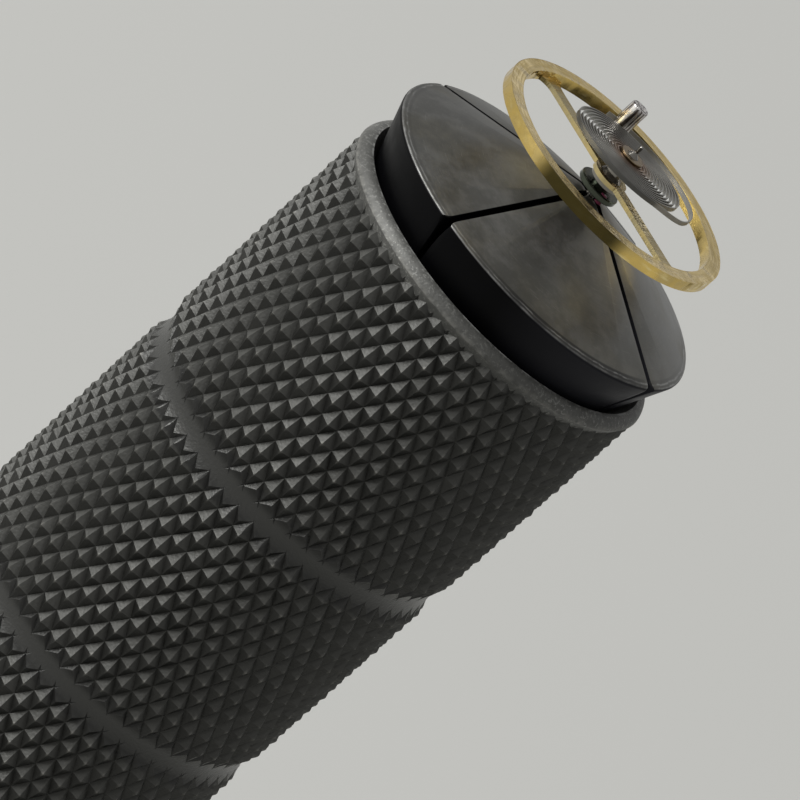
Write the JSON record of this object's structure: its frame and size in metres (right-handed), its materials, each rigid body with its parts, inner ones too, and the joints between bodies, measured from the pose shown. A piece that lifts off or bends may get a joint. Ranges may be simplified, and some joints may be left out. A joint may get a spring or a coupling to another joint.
{
  "type": "collet balance holder",
  "caption": "Knurled hand tool with a tail knob that opens and closes a split collet, gripping a complete watch balance with its hairspring.",
  "frame": {"origin": "middle of the flat end of the tail knob, on the tool's axis", "axes": "+Z along the tool from the knob to the jaws; the collet's slits lie in the X-Z and Y-Z planes"},
  "size_m": [0.012, 0.012, 0.0788],
  "materials": {
    "black_steel": "black oxide over turned and knurled steel",
    "collet_steel": "hardened, blackened and burnished, worn bright on its edges",
    "grey_steel": "turned",
    "bright_steel": "polished",
    "spring_steel": "drawn and rolled",
    "brass": "turned and polished",
    "bronze": "turned",
    "ruby": "polished synthetic ruby"
  },
  "bodies": {
    "handle": {"handle_sleeve": "black_steel", "guide_screw": "grey_steel", "rear_bush": "bronze", "front_thrust_washer": "grey_steel", "rear_thrust_washer": "grey_steel"},
    "knob": {"draw_knob": "black_steel", "draw_spindle": "grey_steel", "draw_nut": "bronze", "drive_pin": "bright_steel", "knob_screw": "grey_steel"},
    "collet": {"collet_shank": "collet_steel"},
    "jaw_1": {"jaw_1": "collet_steel"},
    "jaw_2": {"jaw_2": "collet_steel"},
    "jaw_3": {"jaw_3": "collet_steel"},
    "jaw_4": {"jaw_4": "collet_steel"},
    "balance": {"balance_wheel": "brass", "balance_staff": "bright_steel", "roller_table": "bright_steel", "impulse_jewel": "ruby", "hairspring": "spring_steel", "hairspring_collet": "brass", "collet_pin": "brass", "hairspring_stud": "bright_steel", "stud_pin": "brass"}
  },
  "joints": [
    {"name": "knob_turn", "type": "hinge", "parent": "handle", "child": "knob", "pos_m": [0, 0, 0.0065], "axis": [0, 0, 1], "range_deg": [0, 720]},
    {"name": "collet_draw", "type": "slide", "parent": "handle", "child": "collet", "axis": [0, 0, 1], "range_m": [0, 0.001]},
    {"name": "jaw_1_swing", "type": "hinge", "parent": "collet", "child": "jaw_1", "pos_m": [0.00255, 0.00255, 0.05904], "axis": [-0.7071, 0.7071, 0], "range_deg": [0, 1.2]},
    {"name": "jaw_2_swing", "type": "hinge", "parent": "collet", "child": "jaw_2", "pos_m": [-0.00255, 0.00255, 0.05904], "axis": [-0.7071, -0.7071, 0], "range_deg": [0, 1.2]},
    {"name": "jaw_3_swing", "type": "hinge", "parent": "collet", "child": "jaw_3", "pos_m": [-0.00255, -0.00255, 0.05904], "axis": [0.7071, -0.7071, 0], "range_deg": [0, 1.2]},
    {"name": "jaw_4_swing", "type": "hinge", "parent": "collet", "child": "jaw_4", "pos_m": [0.00255, -0.00255, 0.05904], "axis": [0.7071, 0.7071, 0], "range_deg": [0, 1.2]},
    {"name": "balance_lift", "type": "slide", "parent": "collet", "child": "balance", "axis": [0, 0, 1], "range_m": [0, 0.01]}
  ],
  "couplings": [
    {"joint": "collet_draw", "follows": "knob_turn", "m_per_rad": 0.000079577},
    {"joint": "jaw_1_swing", "follows": "knob_turn", "ratio": 0.0016666},
    {"joint": "jaw_2_swing", "follows": "knob_turn", "ratio": 0.0016666},
    {"joint": "jaw_3_swing", "follows": "knob_turn", "ratio": 0.0016666},
    {"joint": "jaw_4_swing", "follows": "knob_turn", "ratio": 0.0016666}
  ]
}
